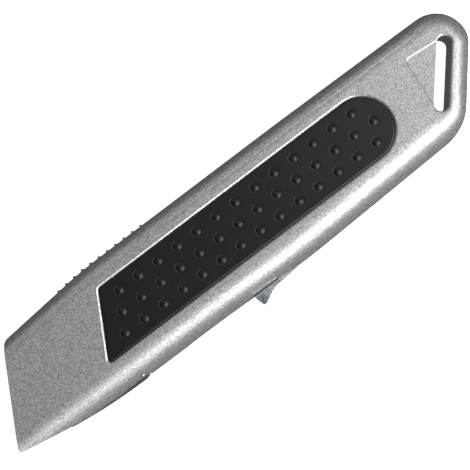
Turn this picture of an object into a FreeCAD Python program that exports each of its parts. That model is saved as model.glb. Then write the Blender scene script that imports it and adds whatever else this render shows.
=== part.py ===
import FreeCAD, Part
import math
import os
import re
import Sketcher

# Utility knife with a retracting trapezoid blade.
#
# Modelling frame: X runs from the nose tip to the rear end, Y runs up to the spine from a base
# line that the slider's fin just passes, and Z runs from the parting plane of the two housing
# halves towards the left side. Every piece is placed from there into the part's own frame, which has
# its origin under the middle of the knife, on the surface that it lies on.

V = FreeCAD.Vector

SIZES = {
    # how far a cutting tool reaches past what it cuts, and how deep joined solids overlap
    "over": 1.0,
    "bite": 0.5,
    "envelope_over": 10.0,
    # whole knife
    "body_length": 151.3,      # nose tip to rear end
    "spine_height": 34.02,     # base line to the spine's highest corner
    "half_thick": 7.25,        # parting plane to the flat side of one housing half
    # nose: a flat face that leans back, above an underside that rises to the tip
    "nose_height": 7.24,
    "face_slope": 0.557,       # run of the nose face to the rear, per millimetre of height
    "tip_r": 0.8,
    "brow_r": 2.5,
    "chin_x": 22.15,
    "chin_y": 3.05,
    "chin_r": 152.0,
    "blank_lead": 6.0,         # housing blank ahead of the nose, cut away by the nose face
    # spine
    "spine_fall": 0.0896,      # fall towards the nose, per millimetre of length
    "spine_break": 39.45,
    "spine_break_r": 110.0,
    "spine_mid_in": 50.85,     # from the rear end
    "spine_mid_drop": 0.1,
    "spine_mid_r": 600.0,
    "spine_rear_drop": 0.72,
    # underside and rear end
    "belly_front_y": 3.2,
    "belly_flat_x": 60.45,
    "belly_flat_y": 2.84,
    "belly_low_x": 84.45,
    "belly_low_y": 2.2,
    "belly_r": 300.0,
    "heel_in": 15.0,
    "heel_y": 4.15,
    "heel_r": 13.0,
    "rear_low_y": 22.6,
    "rear_low_r": 6.0,
    "rear_top_r": 8.4,
    # edge roundings of the housing
    "side_round": 4.3,
    "bead_in": 2.75,           # raised line below the spine
    "bead_width": 0.35,
    "bead_set": 0.17,          # its top, below the flat side
    "bead_rear_in": 11.3,
    "parting_land": 0.15,      # what the underside's rounding leaves beside the parting plane
    # grip insert and its pocket
    "pocket_low_y": 11.2,
    "pocket_top_in": 5.9,      # below the spine
    "pocket_nose_gap": 28.55,  # from the nose face, along X
    "pocket_rear_in": 27.4,
    "pocket_depth": 1.5,
    "pocket_low_r": 0.9,
    "pocket_top_r": 1.2,
    "pocket_chamfer": 0.2,
    "insert_gap": 0.3,
    "insert_proud": 0.15,
    "insert_edge_r": 0.45,
    "insert_rear_flat": 0.05,  # half the flat that its two rear roundings leave
    "stud_pitch": 5.96,
    "stud_row_gap": 4.65,
    "stud_row_lift": 0.2,      # middle row above the insert's middle
    "stud_inset": 6.0,         # first stud behind the insert's front edge
    "stud_rear_margin": 4.0,
    "stud_base_r": 1.05,
    "stud_proud": 0.35,
    # thumb ribs on the spine
    "rib_first_x": 31.55,
    "rib_pitch": 2.61,
    "rib_width": 0.5,
    "rib_proud": 0.38,
    "rib_depth": 1.5,
    # lanyard slot and the shallow recess beside it
    "slot_in": 16.21,          # centre of the slot's lower end, from the rear end
    "slot_low_y": 13.1,
    "slot_run_x": 9.46,
    "slot_run_y": 11.37,
    "slot_half": 1.95,
    "slot_corner_r": 1.85,
    "slot_chamfer": 0.2,
    "recess_in": 17.95,
    "recess_top_y": 26.9,
    "recess_depth": 0.7,
    "recess_r": 1.0,
    "recess_lean": 1.1,        # of its front side, towards the rear end
    "recess_fall": 1.0,        # of its upper side, towards the slot
    "chamfer_taper": 62.0,     # from the face's normal, in degrees
    "chamfer_over": 0.1,
    # blade
    "blade_length": 60.5,
    "blade_back_length": 33.5,
    "blade_width": 18.7,
    "blade_thick": 0.63,
    "blade_edge_y": 9.2,
    "blade_rest_x": 3.95,
    "blade_bevel": 1.6,
    "notch_pitch": 9.6,
    "notch_width": 3.0,
    "notch_depth": 2.3,
    "slit_side_gap": 0.135,    # between the blade and each wall of the slit
    "slit_gap": 0.25,
    # cavity, carrier and liners
    "travel": 20.0,
    "guide_length": 6.2,       # solid nose ahead of the cavity, along X
    "end_clear": 0.4,
    "blade_clear": 0.1,
    "carrier_thick": 2.9,
    "cover_thick": 1.8,
    "carrier_low_y": 10.4,
    "carrier_rear": 66.95,
    "lug_rear": 71.65,
    "lug_half": 3.7,
    "liner_thick": 0.4,
    "liner_gap": 0.25,
    "liner_low_y": 10.7,
    "liner_rear": 69.45,
    "cavity_front_low": 8.6,
    "cavity_low": 6.6,
    "cavity_step_x": 39.45,
    "cavity_top_gap": 0.6,     # above the blade's back
    "cavity_rear_in": 25.35,
    "cavity_corner_in": 32.95,
    "cavity_corner_y": 13.5,
    "seat_gap": 0.2,
    "tail_gap": 0.3,           # behind the blade
    "cover_lift": 1.0,         # cover's lower side above the carrier's
    "magnet_x": 45.45,
    "magnet_y": 16.0,
    "magnet_r": 3.2,
    "magnet_thick": 1.6,
    "rivet_r": 0.9,
    "hole_gap": 0.02,          # radial gap round a pin, rivet or screw that stays put
    "rivet_front_x": 58.95,
    "rivet_front_y": 24.5,
    "rivet_rear_x": 63.65,
    "rivet_rear_y": 17.0,
    # finger slider
    "tongue_x": 70.15,
    "tongue_length": 12.5,
    "tongue_half": 1.2,
    "tongue_top": 13.2,
    "tongue_low": 1.82,
    "tongue_low_rear": 2.27,
    "slot_side_gap": 0.3,
    "slot_end_gap": 0.5,
    "fin_lead": 0.5,
    "fin_tip_back": 0.7,
    "fin_tip_y": -0.13,
    "fin_tip_length": 1.1,
    "fin_ramp_length": 5.6,
    "fin_ramp_top": 1.87,
    "fin_tooth": 0.3,
    "fin_teeth": 5,
    "fin_hollow": 1.7,         # how hollow the ramp is; 1 is straight
    "fin_half": 3.4,
    "fin_top": 2.1,
    "fin_root": 2.0,
    "fin_gap": 0.2,
    "foot_front": 60.45,
    "foot_low": 9.0,
    "foot_over": 0.8,
    "slider_rivet_y": 11.2,
    "slider_rivet_in": 3.0,
    "slider_rivet_r": 0.8,
    # stops
    "stop_gap": 0.15,
    "buffer_length": 3.0,
    "buffer_low": 8.8,
    "stop_rib": 1.8,
    "stop_pin_r": 0.9,
    "stop_pin_y": 7.7,
    "pin_bed": 1.0,            # depth that a cross pin goes into each cavity wall
    # return spring
    "spring_y": 18.2,
    "coil_r": 2.2,
    "wire_r": 0.275,
    "coil_pitch": 0.8,
    "loop_lead": 1.2,          # loop's centre to the first turn
    "loop_set": 0.06,          # loop's wire outside the turn's, from the bend between them
    "hook_x": 70.05,
    "hook_r": 0.8,
    "hook_top": 1.6,
    "anchor_in": 29.55,
    "anchor_r": 1.0,
    "loop_clear": 0.05,
    # blade-change flap
    "hinge_x": 35.85,
    "hinge_y": 4.75,
    "knuckle_r": 2.05,
    "flap_front": 14.05,
    "flap_proud": 0.3,
    "flap_half": 3.0,
    "flap_gap": 0.3,
    "flap_inner_front": 6.1,
    "flap_inner_rear": 5.6,
    "hinge_pin_r": 0.8,
    "hinge_run": 0.05,
    "hinge_bed": 0.9,
    "window_front": 16.45,
    "window_rear": 31.45,
    "window_half": 1.5,
    "leaf_back": 0.55,
    "leaf_thick": 0.3,
    "leaf_low": 5.9,
    "leaf_top": 8.3,
    "leaf_grip": 7.2,
    "leaf_half": 2.4,
    # fasteners
    "screw_r": 1.0,
    "screw_head_r": 1.7,
    "screw_head": 1.2,
    "screw_seat": 4.2,         # head seat, from the parting plane
    "screw_reach": 3.6,        # thread beyond the parting plane
    "screw_run": 0.1,
    "key_r": 0.65,
    "key_depth": 0.7,
    "boss_r": 2.8,
    "front_screw_x": 24.45,
    "front_screw_lift": 2.2,
    "mid_screw_x": 74.45,
    "mid_screw_in": 8.8,
    "back_screw_in": 38.85,
    "rear_screw_in": 23.05,
    "rear_screw_y": 14.5,
    "dowel_r": 1.0,
    "dowel_half": 2.5,
    "dowel_lift": 2.7,
    "dowel_front_x": 60.45,
    "dowel_rear_in": 32.95,
}

doc = FreeCAD.newDocument("utility_knife")
sheet = doc.addObject("Spreadsheet::Sheet", "Dims")
for row, (word, value) in enumerate(SIZES.items(), 1):
    sheet.set(f"A{row}", word)
    sheet.set(f"B{row}", str(value))
    sheet.setAlias(f"B{row}", word)
doc.recompute()

SUBPARTS = []

# Expressions that several pieces share
BLADE_TOP = "(blade_edge_y + blade_width)"
CAVITY_TOP = f"({BLADE_TOP} + cavity_top_gap)"
POCKET_TOP = "(spine_height - pocket_top_in)"
INNER_FACE = "(blade_thick / 2 + blade_clear)"
SLIT_HALF = "(blade_thick / 2 + slit_side_gap)"
RIGHT_DEPTH = f"({INNER_FACE} + carrier_thick + liner_gap + liner_thick)"
LEFT_DEPTH = f"({INNER_FACE} + cover_thick + liner_gap + liner_thick)"
UNDERSIDE_R = "(half_thick - parting_land)"
TONGUE_REAR = "(tongue_x + tongue_length)"
BLADE_REAR = "(blade_rest_x + blade_length)"
BLADE_SLANT = "((blade_length - blade_back_length) / 2)"
CHIN_FALL = "((nose_height - chin_y) / chin_x)"
# how far the nose tip's rounding sets the knife's front end back
TIP_BACK = ("(tip_r * ((sqrt(1 + face_slope * face_slope)"
            f" + face_slope * sqrt(1 + {CHIN_FALL} * {CHIN_FALL}))"
            f" / (1 + face_slope * {CHIN_FALL}) - 1))")


def ex(text):
    """Expression on the sheet: every size's word gets the sheet's name in front."""
    return re.sub(r"[a-z][a-z_]*[a-z]", lambda found: "Dims." + found.group(0)
                  if found.group(0) in SIZES else found.group(0), str(text))


def num(text):
    """Value of an expression on the sheet."""
    return float(sheet.evalExpression(ex(text)))


def bind(thing, path, text):
    thing.setExpression(path, ex(text))


def nose_line(gap, height):
    """X of a line parallel to the nose face, set back by a gap, at a height."""
    return f"{gap} + ({height} - nose_height) * face_slope"


# Sketches and basic solids

def dimension(sketch, kind, word, ends, text):
    """A driving dimension of a sketch, bound to the sheet."""
    index = sketch.addConstraint(Sketcher.Constraint(kind, *ends, num(text)))
    sketch.renameConstraint(index, word)
    bind(sketch, f"Constraints.{word}", text)


def corner_arc(point, before, after, radius):
    """Ends and centre of the arc that rounds a corner between two lines."""
    towards_before = (before - point).normalize()
    towards_after = (after - point).normalize()
    half = towards_before.getAngle(towards_after) / 2
    reach = radius / math.tan(half)
    centre = point + (towards_before + towards_after).normalize() * (radius / math.sin(half))
    return point + towards_before * reach, point + towards_after * reach, centre


def add_arc(sketch, first, second, centre, radius):
    """Arc between two points; returns its index and the numbers of its two ends."""
    angles = [math.atan2(end.y - centre.y, end.x - centre.x) for end in (first, second)]
    leftward = (first - centre).cross(second - centre).z > 0
    if not leftward:
        angles.reverse()
    if angles[1] < angles[0]:
        angles[1] += 2 * math.pi
    circle = Part.Circle(centre, V(0, 0, 1), radius)
    index = sketch.addGeometry(Part.ArcOfCircle(circle, *angles), False)
    return (index, 1, 2) if leftward else (index, 2, 1)


def draw_outline(sketch, corners):
    """Closed outline through corners (x, y) or (x, y, radius), all of them expressions."""
    count = len(corners)
    points = [V(num(corner[0]), num(corner[1]), 0) for corner in corners]
    ends = []
    for index, corner in enumerate(corners):
        point = points[index]
        if len(corner) == 3:
            neighbours = points[index - 1], points[(index + 1) % count]
            ends.append(corner_arc(point, *neighbours, num(corner[2])))
        else:
            ends.append((point, point, None))
    for index in range(count):
        line = Part.LineSegment(ends[index][1], ends[(index + 1) % count][0])
        sketch.addGeometry(line, False)
    for index, corner in enumerate(corners):
        before = (index - 1) % count
        first, second, centre = ends[index]
        if centre is None:
            sketch.addConstraint(Sketcher.Constraint("Coincident", before, 2, index, 1))
            held = index
        else:
            arc, first_end, second_end = add_arc(sketch, first, second, centre, num(corner[2]))
            sketch.addConstraint(Sketcher.Constraint("Tangent", before, 2, arc, first_end))
            sketch.addConstraint(Sketcher.Constraint("Tangent", arc, second_end, index, 1))
            dimension(sketch, "Radius", f"r{index}", (arc,), corner[2])
            held = sketch.addGeometry(Part.Point(points[index]), True)
            sketch.addConstraint(Sketcher.Constraint("PointOnObject", held, 1, before))
            sketch.addConstraint(Sketcher.Constraint("PointOnObject", held, 1, index))
        dimension(sketch, "DistanceX", f"x{index}", (-1, 1, held, 1), corner[0])
        dimension(sketch, "DistanceY", f"y{index}", (-1, 1, held, 1), corner[1])


def sketch_on(body, plane, corners, offset="0"):
    """Sketch on one of the body's origin planes, moved along the plane's normal."""
    sketch = body.newObject("Sketcher::SketchObject", "Outline")
    origin_plane = [item for item in body.Origin.OriginFeatures if item.Role == plane][0]
    sketch.AttachmentSupport = (origin_plane, [""])
    sketch.MapMode = "FlatFace"
    bind(sketch, "AttachmentOffset.Base.z", offset)
    draw_outline(sketch, corners)
    return sketch


def prism(name, corners, low, high, plane="XY_Plane", taper=None):
    """Body padded from one level to another along its plane's normal."""
    body = doc.addObject("PartDesign::Body", name)
    sketch = sketch_on(body, plane, corners, low)
    pad = body.newObject("PartDesign::Pad", "Pad")
    pad.Profile = sketch
    bind(pad, "Length", f"({high}) - ({low})")
    if taper:
        bind(pad, "TaperAngle", taper)
    doc.recompute()
    return body


def plate(name, x_low, y_low, x_high, y_high, low, high):
    """Prism with a rectangular outline."""
    corners = [(x_low, y_low), (x_high, y_low), (x_high, y_high), (x_low, y_high)]
    return prism(name, corners, low, high)


def turned(name, steps, x, y):
    """Body turned round an axis along Z; steps are (radius, z), from its low end to its high."""
    body = doc.addObject("PartDesign::Body", name)
    corners = [("0", steps[0][1])] + steps + [("0", steps[-1][1])]
    sketch = sketch_on(body, "XZ_Plane", corners)
    turn = body.newObject("PartDesign::Revolution", "Turn")
    turn.Profile = sketch
    turn.ReferenceAxis = (sketch, ["V_Axis"])
    turn.Angle = 360
    bind(body, "Placement.Base.x", x)
    bind(body, "Placement.Base.y", y)
    doc.recompute()
    return body


def rod(name, radius, x, y, low, high):
    """Plain cylinder along Z."""
    return turned(name, [(radius, low), (radius, high)], x, y)


def rod_along_x(name, radius, y, z, low, high):
    """Cylinder along X."""
    item = doc.addObject("Part::Cylinder", name)
    bind(item, "Radius", radius)
    bind(item, "Height", f"({high}) - ({low})")
    item.Placement = FreeCAD.Placement(V(0, 0, 0), FreeCAD.Rotation(V(0, 1, 0), 90))
    bind(item, "Placement.Base.x", low)
    bind(item, "Placement.Base.y", y)
    bind(item, "Placement.Base.z", z)
    return item


def fuse(name, shapes):
    item = doc.addObject("Part::MultiFuse", name)
    item.Shapes = shapes
    doc.recompute()
    return item


def cut(name, base, tools):
    item = doc.addObject("Part::Cut", name)
    item.Base = base
    item.Tool = tools[0] if len(tools) == 1 else fuse(name + "_tools", tools)
    doc.recompute()
    return item


def common(name, base, tool):
    item = doc.addObject("Part::Common", name)
    item.Base = base
    item.Tool = tool
    doc.recompute()
    return item


def mirrored(name, source):
    """Mirror image on the other side of the parting plane."""
    item = doc.addObject("Part::Mirroring", name)
    item.Source = source
    item.Base = V(0, 0, 0)
    item.Normal = V(0, 0, 1)
    doc.recompute()
    return item


def group(name, links):
    """Several separate solids in one piece."""
    item = doc.addObject("Part::Compound", name)
    item.Links = links
    doc.recompute()
    return item


def subpart(label, item, x="0", y="0"):
    """Name a finished piece and move it from the modelling frame into the part's own frame."""
    item.Label = label
    bind(item, "Placement.Base.x", f"{x} - (body_length + {TIP_BACK}) / 2")
    bind(item, "Placement.Base.y", f"{y} - (spine_height + rib_proud + fin_tip_y) / 2")
    bind(item, "Placement.Base.z", "half_thick + insert_proud + stud_proud")
    SUBPARTS.append(item)
    return item


# Housing halves

def housing_blank():
    """One half before anything is cut from it, rounded along its outer edge."""
    corners = [
        ("-blank_lead", "belly_front_y"),
        ("belly_flat_x", "belly_flat_y", "belly_r"),
        ("belly_low_x", "belly_low_y", "belly_r"),
        ("body_length - heel_in", "heel_y", "heel_r"),
        ("body_length", "rear_low_y", "rear_low_r"),
        ("body_length", "spine_height - spine_rear_drop", "rear_top_r"),
        ("body_length - spine_mid_in", "spine_height - spine_mid_drop", "spine_mid_r"),
        ("spine_break", "spine_height", "spine_break_r"),
        ("-blank_lead", "spine_height - (spine_break + blank_lead) * spine_fall"),
    ]
    body = prism("Blank", corners, "0", "half_thick")
    rounded = doc.addObject("Part::Fillet", "RoundedBlank")
    rounded.Base = body
    rounded.Edges = outer_edge_radii(body.Shape)
    doc.recompute()
    return rounded


def spine_bead():
    """Raised line that runs below the spine, from the nose to the rear rounding."""
    rear = "body_length - bead_rear_in"
    front_y = "spine_height - (spine_break + blank_lead) * spine_fall - bead_in"
    mid_y = "spine_height - spine_mid_drop - bead_in"
    rear_y = (f"{mid_y} - (spine_rear_drop - spine_mid_drop)"
              " * (spine_mid_in - bead_rear_in) / spine_mid_in")
    mid_x = "body_length - spine_mid_in"
    corners = [
        ("-blank_lead", f"{front_y} - bead_width"),
        ("spine_break", "spine_height - bead_in - bead_width", "spine_break_r"),
        (mid_x, f"{mid_y} - bead_width", "spine_mid_r"),
        (rear, f"{rear_y} - bead_width"),
        (rear, rear_y),
        (mid_x, mid_y, "spine_mid_r"),
        ("spine_break", "spine_height - bead_in", "spine_break_r"),
        ("-blank_lead", front_y),
    ]
    return prism("SpineBead", corners, "half_thick - over", "half_thick - bead_set")


def outer_edge_radii(shape):
    """Start and end radius of each outer edge: large below, small above, blended at the heel."""
    large = num(UNDERSIDE_R)
    small = num("side_round")
    outer = num("half_thick")
    front = -num("blank_lead")
    heel_x = num("body_length - heel_in")
    edges = []
    for index, edge in enumerate(shape.Edges, 1):
        box = edge.BoundBox
        if abs(box.ZMin - outer) > 1e-6 or abs(box.XMax - front) < 1e-6:
            continue
        ends = [edge.valueAt(edge.FirstParameter), edge.valueAt(edge.LastParameter)]
        is_arc = isinstance(edge.Curve, Part.Circle)
        if is_arc and box.XMin < heel_x < box.XMax and box.YMin < num("heel_y") + 2:
            radii = (large, small) if ends[0].y < ends[1].y else (small, large)
        elif edge.CenterOfMass.y < num("heel_y"):
            radii = (large, large)
        else:
            radii = (small, small)
        edges.append((index, *radii))
    return edges


def nose_envelope():
    """Everything behind the nose face and above the nose's rising underside."""
    brow_y = ("((spine_height - spine_fall * (spine_break + nose_height * face_slope))"
              " / (1 - spine_fall * face_slope))")
    corners = [
        ("0", "nose_height", "tip_r"),
        ("chin_x", "chin_y", "chin_r"),
        ("belly_flat_x", "belly_flat_y - flap_proud"),
        ("body_length + envelope_over", "-envelope_over"),
        ("body_length + envelope_over", "spine_height + envelope_over"),
        ("spine_break", "spine_height + over"),
        (f"({brow_y} - nose_height) * face_slope", brow_y, "brow_r"),
    ]
    return prism("NoseEnvelope", corners, "-over", "half_thick + over")


def insert_outline(gap):
    """Outline of the grip insert, drawn in by a gap from its pocket's walls."""
    low = f"(pocket_low_y + {gap})"
    top = f"({POCKET_TOP} - {gap})"
    set_back = f"pocket_nose_gap + {gap} * sqrt(1 + face_slope * face_slope)"
    rear = f"body_length - pocket_rear_in - {gap}"
    # nearly a full half-round at the rear, short of it by a narrow flat
    rear_r = f"({top} - {low}) / 2 - insert_rear_flat"
    return [
        (nose_line(set_back, low), low, f"pocket_low_r - {gap}"),
        (rear, low, rear_r),
        (rear, top, rear_r),
        (nose_line(set_back, top), top, f"pocket_top_r - {gap}"),
    ]


def slot_outline(widen="0"):
    """Slanted lanyard slot, its corners found from its centre line."""
    length = "sqrt(slot_run_x * slot_run_x + slot_run_y * slot_run_y)"
    half = f"(slot_half + {widen})"
    along_x = f"{half} * slot_run_x / {length}"
    along_y = f"{half} * slot_run_y / {length}"
    low_x = "body_length - slot_in"
    low_y = "slot_low_y"
    high_x = f"{low_x} + slot_run_x"
    high_y = f"{low_y} + slot_run_y"
    radius = f"slot_corner_r + {widen}"
    return [
        (f"{low_x} - {along_x} - {along_y}", f"{low_y} - {along_y} + {along_x}", radius),
        (f"{low_x} - {along_x} + {along_y}", f"{low_y} - {along_y} - {along_x}", radius),
        (f"{high_x} + {along_x} + {along_y}", f"{high_y} + {along_y} - {along_x}", radius),
        (f"{high_x} + {along_x} - {along_y}", f"{high_y} + {along_y} + {along_x}", radius),
    ]


def recess_outline():
    """Shallow three-cornered recess that shares the slot's upper side."""
    left = "body_length - recess_in"
    return [
        (left, "slot_low_y"),
        ("body_length - slot_in", "slot_low_y"),
        ("body_length - slot_in + slot_run_x", "slot_low_y + slot_run_y"),
        ("body_length - slot_in + slot_run_x", "recess_top_y - recess_fall"),
        (f"{left} + recess_lean", "recess_top_y", "recess_r"),
    ]


def outside_cuts():
    """What is cut into the outside of both halves, on the left half's side."""
    outer = "half_thick + over"
    chamfers = [("PocketChamfer", insert_outline("0"), "pocket_chamfer"),
                ("LanyardChamfer", slot_outline(), "slot_chamfer"),
                ("RecessChamfer", recess_outline(), "slot_chamfer")]
    return [
        prism("Pocket", insert_outline("0"), "half_thick - pocket_depth", outer),
        prism("LanyardSlot", slot_outline(), "-over", outer),
        prism("Recess", recess_outline(), "half_thick - recess_depth", outer),
    ] + [prism(name, corners, f"half_thick - {depth}", "half_thick + chamfer_over",
               taper="chamfer_taper") for name, corners, depth in chamfers]


def cavity_outline():
    """Room for the carrier, its foot and the spring."""
    front_low = nose_line("guide_length", "cavity_front_low")
    front_top = nose_line("guide_length", CAVITY_TOP)
    rear = "body_length - cavity_rear_in"
    return [
        (front_low, "cavity_front_low"),
        ("cavity_step_x", "cavity_front_low"),
        ("cavity_step_x", "cavity_low"),
        ("body_length - cavity_corner_in", "cavity_low"),
        (rear, "cavity_corner_y"),
        (rear, CAVITY_TOP),
        (front_top, CAVITY_TOP),
    ]


def flap_recess_cuts(side):
    """Recess under the nose for the flap, its knuckle and its leaf, on one side."""
    half = "flap_half + flap_gap"
    front = "flap_front - flap_gap"
    recess = prism(f"FlapRecess{side}", [
        (front, "0"),
        ("hinge_x", "0"),
        ("hinge_x", "flap_inner_rear + flap_gap"),
        (front, "flap_inner_front + flap_gap"),
    ], "0", half)
    leaf_x = f"({front} - leaf_back)"
    return [
        recess,
        rod(f"KnuckleRoom{side}", "knuckle_r + flap_gap", "hinge_x", "hinge_y", "0", half),
        rod(f"HingeBore{side}", "hinge_pin_r + hole_gap", "hinge_x", "hinge_y", "0",
            f"{half} + hinge_bed + hole_gap"),
        plate(f"LeafRoom{side}", f"{leaf_x} - leaf_thick / 2", "0", "flap_front", "leaf_grip",
              "0", "leaf_half + flap_gap"),
        plate(f"LeafGrip{side}", f"{leaf_x} - hole_gap", "leaf_grip - over",
              f"{leaf_x} + leaf_thick + hole_gap", "leaf_top + hole_gap", "0",
              "leaf_half + hole_gap"),
        plate(f"Window{side}", "window_front", "flap_inner_rear", "window_rear",
              "cavity_front_low + bite", "0", "window_half"),
    ]


def inside_cuts(side, depth):
    """What is cut into the inside of one half, drawn on the left half's side."""
    return [
        prism(f"Cavity{side}", cavity_outline(), "-over", depth),
        plate(f"Slit{side}", "-blank_lead", "blade_edge_y - slit_gap", "cavity_step_x",
              f"{BLADE_TOP} + slit_gap", "-over", SLIT_HALF),
        plate(f"FingerSlot{side}", "tongue_x - travel - slot_end_gap", "-over",
              f"{TONGUE_REAR} + slot_end_gap", "cavity_low + bite", "-over",
              "tongue_half + slot_side_gap"),
    ] + flap_recess_cuts(side)


def screw_places():
    """Centres of the housing screws."""
    return [
        ("front_screw_x", f"{BLADE_TOP} + front_screw_lift"),
        ("mid_screw_x", "spine_height - mid_screw_in"),
        ("body_length - back_screw_in", "spine_height - mid_screw_in"),
        ("body_length - rear_screw_in", "rear_screw_y"),
    ]


def dowel_places():
    """Centres of the dowels in the wall above the cavity."""
    height = f"{CAVITY_TOP} + dowel_lift"
    return [("dowel_front_x", height), ("body_length - dowel_rear_in", height)]


def cross_pin_places():
    """Centre and radius of the two pins that cross the cavity."""
    stop_x = "tongue_x - travel - stop_gap - stop_pin_r"
    return [
        (stop_x, "stop_pin_y", "stop_pin_r"),
        ("body_length - anchor_in", "spring_y", "anchor_r"),
    ]


def posts(side, depth):
    """Screw bosses and the rib behind the buffer, standing on one half's cavity floor."""
    top = f"{depth} + bite"
    shapes = [rod(f"Boss{side}{number}", "boss_r", x, y, "0", top)
              for number, (x, y) in enumerate(screw_places()[1:3])]
    rib_front = f"{TONGUE_REAR} + foot_over + stop_gap + buffer_length"
    shapes.append(plate(f"StopRib{side}", rib_front, "cavity_low - bite",
                        f"{rib_front} + stop_rib", "tongue_top + seat_gap", "0", top))
    return shapes


def spine_ribs(side):
    """Thumb ribs across the spine, each as high above it as the last."""
    shapes = []
    last = num("belly_flat_x") - num("rib_pitch")
    count = int((last - num("rib_first_x")) / num("rib_pitch")) + 1
    for number in range(count):
        x = f"(rib_first_x + {number} * rib_pitch)"
        ahead = num(f"spine_break - {x}") > 0
        fall = f"(spine_break - {x}) * spine_fall" if ahead else "0"
        top = f"spine_height + rib_proud - {fall}"
        corners = [
            (f"{x} - rib_width / 2", f"{top} - rib_depth"),
            (f"{x} + rib_width / 2", f"{top} - rib_depth"),
            (f"{x} + rib_width / 2", f"{top} - rib_width / 4"),
            (f"{x} + rib_width / 4", top),
            (f"{x} - rib_width / 4", top),
            (f"{x} - rib_width / 2", f"{top} - rib_width / 4"),
        ]
        shapes.append(prism(f"Rib{side}{number}", corners, "0", "half_thick - side_round"))
    return shapes


def fixing_holes(side, depth):
    """Holes for dowels, cross pins and screws, drawn on the left half's side."""
    tools = [rod(f"DowelHole{side}{number}", "dowel_r + hole_gap", x, y, "-over",
                 "dowel_half + hole_gap") for number, (x, y) in enumerate(dowel_places())]
    for number, (x, y, radius) in enumerate(cross_pin_places()):
        tools.append(rod(f"PinHole{side}{number}", f"{radius} + hole_gap", x, y, "0",
                         f"{depth} + pin_bed + hole_gap"))
    for number, (x, y) in enumerate(screw_places()):
        if side == "Left":
            tools.append(rod(f"Thread{number}", "screw_r + hole_gap", x, y, "-over",
                             "screw_reach + seat_gap"))
        else:
            tools.append(turned(f"ScrewHole{number}", [
                ("screw_r + screw_run", "-over"),
                ("screw_r + screw_run", "screw_seat"),
                ("screw_head_r + screw_run", "screw_seat"),
                ("screw_head_r + screw_run", "half_thick + over"),
            ], x, y))
    return tools


def housing_half(side, shell, outside, depth):
    """One finished half, drawn on the left half's side."""
    hollowed = cut(f"Hollowed{side}", shell, outside + inside_cuts(side, depth))
    added = fuse(f"Filled{side}", [hollowed] + posts(side, depth) + spine_ribs(side))
    return cut(f"Half{side}", added, fixing_holes(side, depth))


def housing():
    beaded = fuse("BeadedBlank", [housing_blank(), spine_bead()])
    shell = common("Shell", beaded, nose_envelope())
    outside = outside_cuts()
    left = housing_half("Left", shell, outside, LEFT_DEPTH)
    right = housing_half("Right", shell, outside, RIGHT_DEPTH)
    subpart("left_housing", left)
    subpart("right_housing", mirrored("RightHousing", right))


# Grip inserts

def stud_rows():
    """Height, first centre and number of the studs in each row."""
    middle = f"((pocket_low_y + {POCKET_TOP}) / 2 + stud_row_lift)"
    end_r = num(f"({POCKET_TOP} - pocket_low_y) / 2")
    rows = []
    for step in (-1, 0, 1):
        height = f"({middle} + {step} * stud_row_gap)"
        first = nose_line("(pocket_nose_gap + stud_inset)", height)
        drop = num(f"stud_row_gap * {step}")
        rear = num("body_length - pocket_rear_in") - end_r + math.sqrt(end_r ** 2 - drop ** 2)
        room = rear - num("stud_rear_margin") - num(first)
        rows.append((height, first, int(room / num("stud_pitch")) + 1))
    return rows


def grip_insert():
    """Rubber plate with rows of domed studs."""
    top = "half_thick + insert_proud"
    body = prism("InsertPlate", insert_outline("insert_gap"), "half_thick - pocket_depth", top)
    radius = num("insert_edge_r")
    rounded = doc.addObject("Part::Fillet", "RoundedPlate")
    rounded.Base = body
    rounded.Edges = [(index, radius, radius) for index, edge in enumerate(body.Shape.Edges, 1)
                     if edge.BoundBox.ZMin > num(top) - 1e-6]
    doc.recompute()
    ball_r = "(stud_base_r * stud_base_r + stud_proud * stud_proud) / (2 * stud_proud)"
    studs = []
    for row, (height, first, count) in enumerate(stud_rows()):
        for number in range(count):
            ball = doc.addObject("Part::Sphere", f"Stud{row}x{number}")
            bind(ball, "Radius", ball_r)
            bind(ball, "Placement.Base.x", f"{first} + {number} * stud_pitch")
            bind(ball, "Placement.Base.y", height)
            bind(ball, "Placement.Base.z", f"{top} + stud_proud - {ball_r}")
            studs.append(ball)
    whole = fuse("StuddedPlate", [rounded] + studs)
    room = plate("InsertRoom", "0", "0", "body_length", "spine_height",
                 "half_thick - pocket_depth", f"{top} + over")
    return common("Insert", whole, room)


def grip_inserts():
    insert = grip_insert()
    subpart("left_grip_insert", group("LeftInsert", [insert]))
    subpart("right_grip_insert", mirrored("RightInsert", insert))


# Blade and what carries it

def notch_edges():
    """Left and right side of each notch in the blade's back."""
    middle = "(blade_rest_x + blade_length / 2)"
    return [(f"{middle} + {side} * notch_pitch / 2 - notch_width / 2",
             f"{middle} + {side} * notch_pitch / 2 + notch_width / 2") for side in (-1, 1)]


def blade():
    """Trapezoid blade, ground to an edge along its longer side."""
    floor = f"{BLADE_TOP} - notch_depth"
    corners = [
        ("blade_rest_x", "blade_edge_y"),
        (BLADE_REAR, "blade_edge_y"),
        (f"{BLADE_REAR} - {BLADE_SLANT}", BLADE_TOP),
    ]
    for low, high in reversed(notch_edges()):
        corners += [(high, BLADE_TOP), (high, floor), (low, floor), (low, BLADE_TOP)]
    corners.append((f"blade_rest_x + {BLADE_SLANT}", BLADE_TOP))
    half = "blade_thick / 2"
    flat = prism("BladeFlat", corners, f"-{half}", half)
    section = prism("BladeSection", [
        ("blade_edge_y", "0"),
        ("blade_edge_y + blade_bevel", f"-{half}"),
        (f"{BLADE_TOP} + over", f"-{half}"),
        (f"{BLADE_TOP} + over", half),
        ("blade_edge_y + blade_bevel", half),
    ], "0", "body_length", plane="YZ_Plane")
    subpart("blade", common("Blade", flat, section))


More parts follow.
